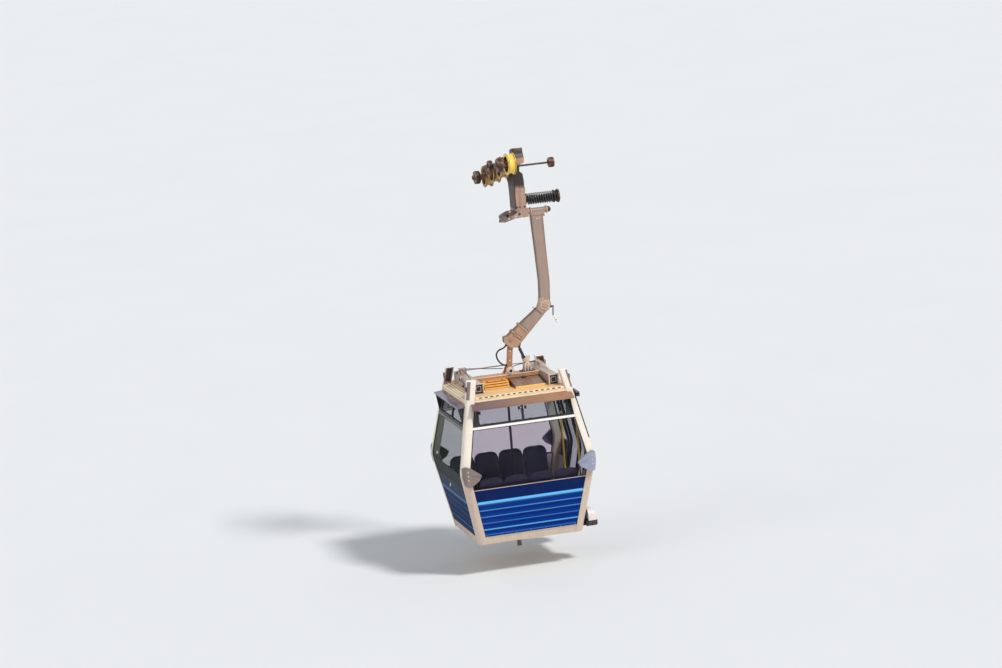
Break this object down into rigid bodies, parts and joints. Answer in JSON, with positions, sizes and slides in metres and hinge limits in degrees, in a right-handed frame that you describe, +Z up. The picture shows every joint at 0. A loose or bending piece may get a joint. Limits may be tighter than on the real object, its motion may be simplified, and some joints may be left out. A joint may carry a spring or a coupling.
{
  "type": "cable car cabin",
  "caption": "Bicable gondola cabin with corner posts, bent windows and sliding doors, hung by a cranked arm from a wheeled rope carriage with a spring grip.",
  "frame": {"origin": "centre of the track rope under the middle of the carriage", "axes": "+Z up, +X to the door side, +Y along the line, downhill"},
  "size_m": [2.2549, 2.1686, 6.5058],
  "materials": {
    "cream_pillar": "cream gloss paint",
    "grey_buffer": "grey rubber with rivets",
    "beige_sill": "beige paint",
    "cream_roof": "cream paint, warm with age",
    "blue_panel": "deep blue gloss with light lines",
    "tinted_glass": "grey tinted acrylic",
    "white_bar": "white paint",
    "black_frame": "black frame",
    "plum_visor": "plum brown paint",
    "black_rubber": "black rubber",
    "white_housing": "white moulded housing",
    "yellow_handle": "yellow paint",
    "dark_steel": "dark paint",
    "navy_seat": "dark moulded seat",
    "weathered_alloy": "weathered alloy",
    "solar_glass": "dark solar cells",
    "orange_box": "orange paint",
    "beige_hanger": "beige brown paint",
    "pale_casting": "pale cast alloy",
    "black_paint": "black paint",
    "bright_steel": "polished rod",
    "bronze_casting": "bronze brown casting",
    "roller_black": "black roller tyre",
    "roller_bronze": "brown roller",
    "yellow_liner": "yellow wheel liner"
  },
  "bodies": {
    "carriage": {"bogies": "bronze_casting", "carriage_beam": "bronze_casting", "carriage_column": "beige_hanger", "grip_body": "beige_hanger", "moving_jaw": "bronze_casting", "spring_pack": "black_paint", "roller_arms": "dark_steel", "finned_box": "black_paint"},
    "hanger": {"hanger_arm": "beige_hanger", "hanger_elbow": "pale_casting", "lower_arm": "beige_hanger", "drop_link": "beige_hanger", "hand_crank": "dark_steel", "hanger_cable": "black_rubber"},
    "damper_tube": {"damper_tube": "black_paint"},
    "damper_rod": {"damper_rod": "bright_steel"},
    "front_door": {"front_door_leaf": "black_frame", "front_door_glass": "tinted_glass"},
    "rear_door": {"rear_door_leaf": "black_frame", "rear_door_glass": "tinted_glass"},
    "track_wheel_1": {"track_wheel_1": "yellow_liner"},
    "track_wheel_2": {"track_wheel_2": "yellow_liner"},
    "track_wheel_3": {"track_wheel_3": "yellow_liner"},
    "track_wheel_4": {"track_wheel_4": "yellow_liner"},
    "front_station_roller": {"front_station_roller": "roller_black"},
    "rear_station_roller": {"rear_station_roller": "roller_black"},
    "lever_roller": {"lever_roller": "roller_black"},
    "guide_roller": {"guide_roller": "roller_bronze"},
    "cabin": {"corner_pillars": "cream_pillar", "corner_buffers": "grey_buffer", "floor_pan": "beige_sill", "roof_lid": "cream_roof", "end_lower_panels": "blue_panel", "side_lower_panels": "blue_panel", "end_windows": "tinted_glass", "side_windows": "tinted_glass", "window_bars": "white_bar", "vent_frames": "black_frame", "vent_panes": "tinted_glass", "visors": "plum_visor", "visor_cheeks": "black_frame", "door_portal": "black_frame", "door_rails": "plum_visor", "guide_shoes": "black_rubber", "guide_housings": "white_housing", "door_handles": "yellow_handle", "centre_post": "dark_steel", "seats": "navy_seat", "bench_frames": "dark_steel", "floor_guide_pin": "dark_steel", "roof_tubes": "weathered_alloy", "cross_beam": "cream_roof", "solar_panel": "solar_glass", "battery_box": "orange_box", "door_drive": "weathered_alloy"}
  },
  "joints": [
    {"name": "track_wheel_1_spin", "type": "hinge", "parent": "carriage", "child": "track_wheel_1", "pos_m": [0, -0.68418, 0.35609], "axis": [1, 0, 0], "continuous": true},
    {"name": "track_wheel_2_spin", "type": "hinge", "parent": "carriage", "child": "track_wheel_2", "pos_m": [0, -0.19903, 0.23513], "axis": [1, 0, 0], "continuous": true},
    {"name": "track_wheel_3_spin", "type": "hinge", "parent": "carriage", "child": "track_wheel_3", "pos_m": [0, 0.28612, 0.11417], "axis": [1, 0, 0], "continuous": true},
    {"name": "track_wheel_4_spin", "type": "hinge", "parent": "carriage", "child": "track_wheel_4", "pos_m": [0, 0.77127, -0.00679], "axis": [1, 0, 0], "continuous": true},
    {"name": "front_station_roller_spin", "type": "hinge", "parent": "carriage", "child": "front_station_roller", "pos_m": [-0.174, -0.68418, 0.35609], "axis": [1, 0, 0], "continuous": true},
    {"name": "rear_station_roller_spin", "type": "hinge", "parent": "carriage", "child": "rear_station_roller", "pos_m": [-0.174, 0.77127, -0.00679], "axis": [1, 0, 0], "continuous": true},
    {"name": "lever_roller_spin", "type": "hinge", "parent": "carriage", "child": "lever_roller", "pos_m": [-0.129, 0.06411, 0.25713], "axis": [1, 0, 0], "continuous": true},
    {"name": "guide_roller_spin", "type": "hinge", "parent": "carriage", "child": "guide_roller", "pos_m": [0.86, 0, 0.213], "axis": [1, 0, 0], "continuous": true},
    {"name": "hanger_swing", "type": "hinge", "parent": "carriage", "child": "hanger", "pos_m": [0.59, 0, -0.53], "axis": [1, 0, 0], "range_deg": [-49, 21]},
    {"name": "cabin_roll", "type": "hinge", "parent": "hanger", "child": "cabin", "pos_m": [-0.1, 0, -3.049], "axis": [0, 1, 0], "range_deg": [-6, 6]},
    {"name": "damper_swing", "type": "hinge", "parent": "hanger", "child": "damper_tube", "pos_m": [0.09, 0, -2.693], "axis": [0, 1, 0], "range_deg": [-1, 1]},
    {"name": "damper_stroke", "type": "slide", "parent": "damper_tube", "child": "damper_rod", "axis": [0.359, 0, -0.9333], "range_m": [-0.04, 0.04]},
    {"name": "front_door_slide", "type": "slide", "parent": "cabin", "child": "front_door", "axis": [0, -1, 0], "range_m": [0, 0.42]},
    {"name": "rear_door_slide", "type": "slide", "parent": "cabin", "child": "rear_door", "axis": [0, 1, 0], "range_m": [0, 0.42]}
  ],
  "couplings": [
    {"joint": "damper_swing", "follows": "cabin_roll", "ratio": 0.13824},
    {"joint": "damper_stroke", "follows": "cabin_roll", "m_per_rad": 0.30513},
    {"joint": "rear_door_slide", "follows": "front_door_slide", "ratio": 1}
  ]
}
